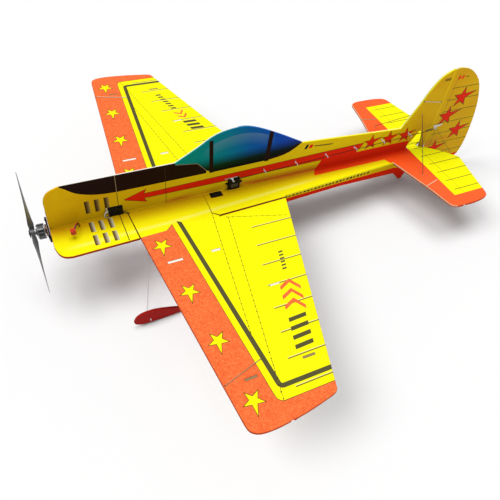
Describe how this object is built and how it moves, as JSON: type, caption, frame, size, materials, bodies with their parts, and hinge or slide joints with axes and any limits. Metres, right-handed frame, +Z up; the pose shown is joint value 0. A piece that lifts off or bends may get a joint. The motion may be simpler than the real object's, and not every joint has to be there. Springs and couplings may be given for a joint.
{
  "type": "propeller plane model",
  "caption": "Flat foam profile aerobatic model aeroplane with electric motor, two-blade propeller, hinged control surfaces, pushrods and faired wheels.",
  "frame": {"origin": "on the ground level of the wheels, on the centreline, under the middle of the length; the nose end of the floor sheet is at x -0.3951, z 0.1195", "axes": "+X aft along the fuselage, +Y starboard, +Z up"},
  "size_m": [0.8482, 0.8, 0.2816],
  "materials": {
    "printed_foam": "printed expanded foam, fine bead texture",
    "red_foam": "printed expanded foam, fine bead texture",
    "carbon": "pultruded carbon, satin",
    "glass_fibre": "flat glass fibre strip",
    "black_plastic": "moulded, satin",
    "white_plastic": "moulded nylon",
    "steel": "turned",
    "winding": "enamelled copper wire",
    "rubber": "matte",
    "wheel_foam": "foam tyre, matte",
    "prop_plastic": "glass filled nylon",
    "rod_black": "carbon rod, satin",
    "battery_wrap": "shrink wrap",
    "red_plastic": "moulded"
  },
  "bodies": {
    "airframe": {"aileron_servo": "black_plastic", "battery": "battery_wrap", "battery_connector": "red_plastic", "battery_strap": "rubber", "elevator_servo": "black_plastic", "fin_strip": "glass_fibre", "fuselage_bottom": "red_foam", "fuselage_top": "printed_foam", "gear_mount": "black_plastic", "left_gear_leg": "steel", "left_spar": "carbon", "left_stabilizer_strip": "glass_fibre", "left_tail_strut": "carbon", "left_wheel_collar": "steel", "left_wheel_pant": "red_foam", "left_wing_strip": "glass_fibre", "motor_mount": "black_plastic", "motor_stator": "winding", "nose_floor": "printed_foam", "receiver": "black_plastic", "right_gear_leg": "steel", "right_spar": "carbon", "right_stabilizer_strip": "glass_fibre", "right_tail_strut": "carbon", "right_wheel_collar": "steel", "right_wheel_pant": "red_foam", "right_wing_strip": "glass_fibre", "rod_guide_1": "white_plastic", "rod_guide_2": "white_plastic", "rod_guide_3": "white_plastic", "rod_guide_4": "white_plastic", "rod_guide_5": "white_plastic", "rod_guide_6": "white_plastic", "rudder_servo": "black_plastic", "speed_controller": "black_plastic", "stabilizer": "printed_foam", "wing": "printed_foam"},
    "propeller_unit": {"motor_bell": "steel", "motor_shaft": "steel", "prop_saver": "steel", "propeller": "prop_plastic", "prop_band": "rubber"},
    "left_wheel": {"left_wheel": "wheel_foam"},
    "right_wheel": {"right_wheel": "wheel_foam"},
    "left_aileron": {"left_aileron": "printed_foam", "left_aileron_horn": "white_plastic"},
    "right_aileron": {"right_aileron": "printed_foam", "right_aileron_horn": "white_plastic"},
    "aileron_arm": {"aileron_servo_arm": "white_plastic"},
    "left_aileron_rod": {"left_aileron_pushrod": "rod_black"},
    "right_aileron_rod": {"right_aileron_pushrod": "rod_black"},
    "elevator": {"elevator": "printed_foam", "elevator_horn": "white_plastic"},
    "elevator_arm": {"elevator_servo_arm": "white_plastic"},
    "elevator_rod": {"elevator_pushrod": "rod_black"},
    "rudder": {"rudder": "printed_foam", "rudder_horn": "white_plastic"},
    "rudder_arm": {"rudder_servo_arm": "white_plastic"},
    "rudder_rod": {"rudder_pushrod": "rod_black"}
  },
  "joints": [
    {"name": "propeller_spin", "type": "hinge", "parent": "airframe", "child": "propeller_unit", "pos_m": [-0.4183, 0, 0.1195], "axis": [1, 0, 0], "continuous": true},
    {"name": "left_wheel_spin", "type": "hinge", "parent": "airframe", "child": "left_wheel", "pos_m": [-0.2871, -0.127, 0.012], "axis": [0, 1, 0], "continuous": true},
    {"name": "right_wheel_spin", "type": "hinge", "parent": "airframe", "child": "right_wheel", "pos_m": [-0.2871, 0.127, 0.012], "axis": [0, 1, 0], "continuous": true},
    {"name": "left_aileron_hinge", "type": "hinge", "parent": "airframe", "child": "left_aileron", "pos_m": [-0.1443, -0.0562, 0.1215], "axis": [0.1427, 0.9898, 0], "range_deg": [-35, 35]},
    {"name": "right_aileron_hinge", "type": "hinge", "parent": "airframe", "child": "right_aileron", "pos_m": [-0.1443, 0.0562, 0.1215], "axis": [-0.1427, 0.9898, 0], "range_deg": [-36, 36]},
    {"name": "aileron_arm_turn", "type": "hinge", "parent": "airframe", "child": "aileron_arm", "pos_m": [-0.2081, 0, 0.0957], "axis": [0, 0, 1], "range_deg": [-36, 36]},
    {"name": "left_aileron_rod_pivot", "type": "hinge", "parent": "aileron_arm", "child": "left_aileron_rod", "pos_m": [-0.2081, -0.014, 0.0957], "axis": [0, 0, 1], "range_deg": [-36, 36]},
    {"name": "right_aileron_rod_pivot", "type": "hinge", "parent": "aileron_arm", "child": "right_aileron_rod", "pos_m": [-0.2081, 0.014, 0.0957], "axis": [0, 0, 1], "range_deg": [-36, 36]},
    {"name": "elevator_hinge", "type": "hinge", "parent": "airframe", "child": "elevator", "pos_m": [0.2707, 0, 0.1215], "axis": [0, 1, 0], "range_deg": [-45, 45]},
    {"name": "elevator_arm_turn", "type": "hinge", "parent": "airframe", "child": "elevator_arm", "pos_m": [-0.1356, -0.0084, 0.1007], "axis": [0, 0, 1], "range_deg": [-46, 46]},
    {"name": "elevator_rod_pivot", "type": "hinge", "parent": "elevator_arm", "child": "elevator_rod", "pos_m": [-0.1356, -0.0204, 0.1007], "axis": [0, 0, 1], "range_deg": [-46, 46]},
    {"name": "rudder_hinge", "type": "hinge", "parent": "airframe", "child": "rudder", "pos_m": [0.3125, -0.002, 0.1745], "axis": [0, 0, 1], "range_deg": [-45, 45]},
    {"name": "rudder_arm_turn", "type": "hinge", "parent": "airframe", "child": "rudder_arm", "pos_m": [-0.1021, 0, 0.1433], "axis": [0, 0, 1], "range_deg": [-46, 46]},
    {"name": "rudder_rod_pivot", "type": "hinge", "parent": "rudder_arm", "child": "rudder_rod", "pos_m": [-0.1021, -0.0092, 0.1433], "axis": [0, 0, 1], "range_deg": [-46, 46]}
  ],
  "couplings": [
    {"joint": "right_aileron_hinge", "follows": "left_aileron_hinge", "ratio": -1},
    {"joint": "aileron_arm_turn", "follows": "left_aileron_hinge", "ratio": -1},
    {"joint": "left_aileron_rod_pivot", "follows": "left_aileron_hinge", "ratio": 1},
    {"joint": "right_aileron_rod_pivot", "follows": "left_aileron_hinge", "ratio": 1},
    {"joint": "elevator_arm_turn", "follows": "elevator_hinge", "ratio": -1},
    {"joint": "elevator_rod_pivot", "follows": "elevator_hinge", "ratio": 1},
    {"joint": "rudder_arm_turn", "follows": "rudder_hinge", "ratio": 1},
    {"joint": "rudder_rod_pivot", "follows": "rudder_hinge", "ratio": -1}
  ]
}
